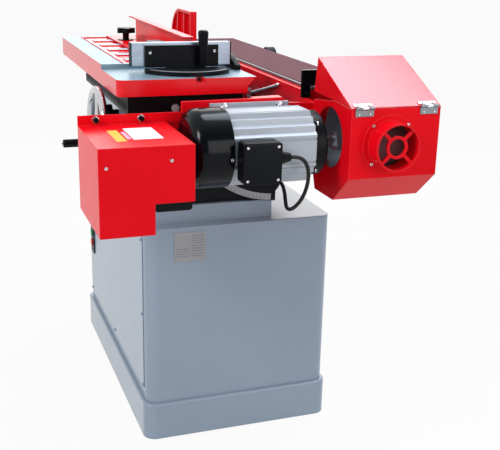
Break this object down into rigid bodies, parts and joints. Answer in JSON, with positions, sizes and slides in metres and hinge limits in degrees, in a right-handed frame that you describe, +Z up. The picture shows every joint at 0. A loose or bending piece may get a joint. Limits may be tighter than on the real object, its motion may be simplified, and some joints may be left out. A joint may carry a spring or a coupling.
{
  "type": "edge sander",
  "caption": "Floor-standing edge sander: cabinet base, handwheel-lifted table with fence and mitre gauge, and a tilting oscillating belt head with motor, dust hood and end table.",
  "frame": {"origin": "centre of the anchor-hole pattern on the floor", "axes": "+X along the belt towards the drive end, +Y away from the operator, +Z up"},
  "size_m": [1.395, 0.746, 0.964],
  "materials": {
    "grey_paint": "gloss",
    "black_paint": "gloss",
    "red_paint": "gloss",
    "ground_iron": "ground",
    "steel": "satin",
    "chrome": "polished",
    "aluminium": "satin",
    "black_plastic": "matte",
    "abrasive": "grit",
    "cable_rubber": "matte",
    "start_green": "gloss",
    "stop_red": "gloss"
  },
  "bodies": {
    "base": {"plinth": "grey_paint", "cabinet": "grey_paint", "pedestal": "grey_paint", "service_panel": "grey_paint", "switch_housing": "black_plastic", "trunnions": "black_paint", "pivot_pins": "steel", "column_bushes": "steel", "wheel_bearing": "steel"},
    "start_button": {"start_button": "start_green"},
    "stop_button": {"stop_button": "stop_red"},
    "tilt_lock": {"tilt_lock_lever": "black_plastic"},
    "table_lock": {"table_lock_knob": "black_plastic"},
    "table": {"table": "ground_iron", "table_saddle": "black_paint", "lift_columns": "steel", "lift_screw": "steel"},
    "lift_nut": {"lift_nut_gear": "steel"},
    "handwheel": {"handwheel": "chrome", "handwheel_shaft": "steel"},
    "grip": {"handwheel_grip": "black_plastic"},
    "fence": {"fence": "red_paint"},
    "fence_knob_far": {"fence_knob_far": "black_plastic"},
    "fence_knob_near": {"fence_knob_near": "black_plastic"},
    "mitre_bar": {"mitre_bar": "steel"},
    "mitre": {"mitre_body": "black_paint", "mitre_fence": "aluminium"},
    "mitre_handle": {"mitre_handle": "black_plastic"},
    "tilt_carriage": {"tilt_carriage": "black_paint", "guide_rods": "steel"},
    "link": {"oscillation_link": "steel"},
    "head": {"head_casting": "red_paint", "platen": "steel", "sanding_belt": "abrasive", "work_stop": "black_paint", "end_table": "red_paint", "motor_plate": "red_paint", "motor_housing": "aluminium", "stator": "steel", "motor_end_bell": "black_paint", "motor_bearings": "steel", "fan_cover": "black_paint", "terminal_box": "black_plastic", "cable_glands": "black_plastic", "motor_cable": "cable_rubber", "gearbox": "black_paint", "gear_cover": "red_paint", "hood": "red_paint", "hood_hinge_leaves": "steel", "dust_port": "red_paint"},
    "spindle": {"motor_rotor": "steel", "cooling_fan": "black_plastic", "drive_drum": "aluminium"},
    "eccentric": {"eccentric_wheel": "steel"},
    "idler_carriage": {"idler_yoke": "steel"},
    "idler": {"idler_drum": "aluminium"},
    "tension_lever": {"tension_lever": "chrome"},
    "tracking_knob": {"tracking_knob": "black_plastic"},
    "lid": {"hood_lid": "red_paint", "lid_hinge_leaves": "steel"}
  },
  "joints": [
    {"name": "start_press", "type": "slide", "parent": "base", "child": "start_button", "axis": [0, 1, 0], "range_m": [0, 0.003], "stiffness_N_per_m": 600},
    {"name": "stop_press", "type": "slide", "parent": "base", "child": "stop_button", "axis": [0, 1, 0], "range_m": [0, 0.003], "stiffness_N_per_m": 600},
    {"name": "tilt_lock_turn", "type": "hinge", "parent": "base", "child": "tilt_lock", "pos_m": [-0.357, 0.10293, 0.6321], "axis": [1, 0, 0], "range_deg": [0, 60]},
    {"name": "table_lock_turn", "type": "hinge", "parent": "base", "child": "table_lock", "pos_m": [0.069, -0.24, 0.747], "axis": [0, 1, 0], "range_deg": [-180, 180]},
    {"name": "handwheel_turn", "type": "hinge", "parent": "base", "child": "handwheel", "pos_m": [0.178, -0.29, 0.725], "axis": [0, 1, 0], "range_deg": [0, 7200]},
    {"name": "table_lift", "type": "slide", "parent": "base", "child": "table", "axis": [0, 0, 1], "range_m": [0, 0.1]},
    {"name": "lift_nut_turn", "type": "hinge", "parent": "base", "child": "lift_nut", "pos_m": [0.178, -0.11, 0.69], "axis": [0, 0, 1], "range_deg": [-7200, 0]},
    {"name": "grip_spin", "type": "hinge", "parent": "handwheel", "child": "grip", "pos_m": [0.0903, -0.33, 0.68127], "axis": [0, 1, 0], "continuous": true},
    {"name": "fence_slide", "type": "slide", "parent": "table", "child": "fence", "axis": [0, 1, 0], "range_m": [-0.03, 0.02]},
    {"name": "fence_knob_far_turn", "type": "hinge", "parent": "table", "child": "fence_knob_far", "pos_m": [-0.301, -0.118, 0.9], "axis": [0, 0, 1], "range_deg": [-180, 180]},
    {"name": "fence_knob_near_turn", "type": "hinge", "parent": "table", "child": "fence_knob_near", "pos_m": [0.04, -0.118, 0.9], "axis": [0, 0, 1], "range_deg": [-180, 180]},
    {"name": "mitre_slide", "type": "slide", "parent": "table", "child": "mitre_bar", "axis": [1, 0, 0], "range_m": [0, 0.09]},
    {"name": "mitre_swing", "type": "hinge", "parent": "mitre_bar", "child": "mitre", "pos_m": [0.215, -0.09, 0.875], "axis": [0, 0, 1], "range_deg": [-25, 25]},
    {"name": "mitre_handle_turn", "type": "hinge", "parent": "mitre", "child": "mitre_handle", "pos_m": [0.25, -0.056, 0.92], "axis": [0, 0, 1], "range_deg": [-180, 180]},
    {"name": "head_tilt", "type": "hinge", "parent": "base", "child": "tilt_carriage", "pos_m": [0, 0.097, 0.802], "axis": [1, 0, 0], "range_deg": [0, 90]},
    {"name": "oscillation", "type": "slide", "parent": "tilt_carriage", "child": "head", "axis": [0, 1, 0], "range_m": [-0.0025, 0.0025]},
    {"name": "link_rock", "type": "hinge", "parent": "tilt_carriage", "child": "link", "pos_m": [0.417, 0.097, 0.748], "axis": [1, 0, 0], "range_deg": [-0.4, 0.4]},
    {"name": "spindle_spin", "type": "hinge", "parent": "head", "child": "spindle", "pos_m": [0.535, 0, 0.756], "axis": [0, 1, 0], "continuous": true},
    {"name": "eccentric_spin", "type": "hinge", "parent": "head", "child": "eccentric", "pos_m": [0.535, -0.236, 0.714], "axis": [1, 0, 0], "continuous": true},
    {"name": "tension_slide", "type": "slide", "parent": "head", "child": "idler_carriage", "axis": [1, 0, 0], "range_m": [0, 0.02]},
    {"name": "idler_spin", "type": "hinge", "parent": "idler_carriage", "child": "idler", "pos_m": [-0.64, 0.242, 0.787], "axis": [0, 1, 0], "continuous": true},
    {"name": "tension_lever_turn", "type": "hinge", "parent": "head", "child": "tension_lever", "pos_m": [0.04, 0.137, 0.78], "axis": [0, 1, 0], "range_deg": [0, 60]},
    {"name": "tracking_turn", "type": "hinge", "parent": "head", "child": "tracking_knob", "pos_m": [-0.385, 0.35, 0.822], "axis": [0, 1, 0], "range_deg": [-180, 180]},
    {"name": "lid_open", "type": "hinge", "parent": "head", "child": "lid", "pos_m": [0.6415, 0.242, 0.8435], "axis": [0, 1, 0], "range_deg": [0, 115]}
  ],
  "couplings": [
    {"joint": "table_lift", "follows": "handwheel_turn", "m_per_rad": 0.000795},
    {"joint": "lift_nut_turn", "follows": "handwheel_turn", "ratio": -1},
    {"joint": "idler_spin", "follows": "spindle_spin", "ratio": 1.52},
    {"joint": "eccentric_spin", "follows": "spindle_spin", "ratio": 0.033333},
    {"joint": "tension_lever_turn", "follows": "tension_slide", "rad_per_m": 52.3}
  ]
}
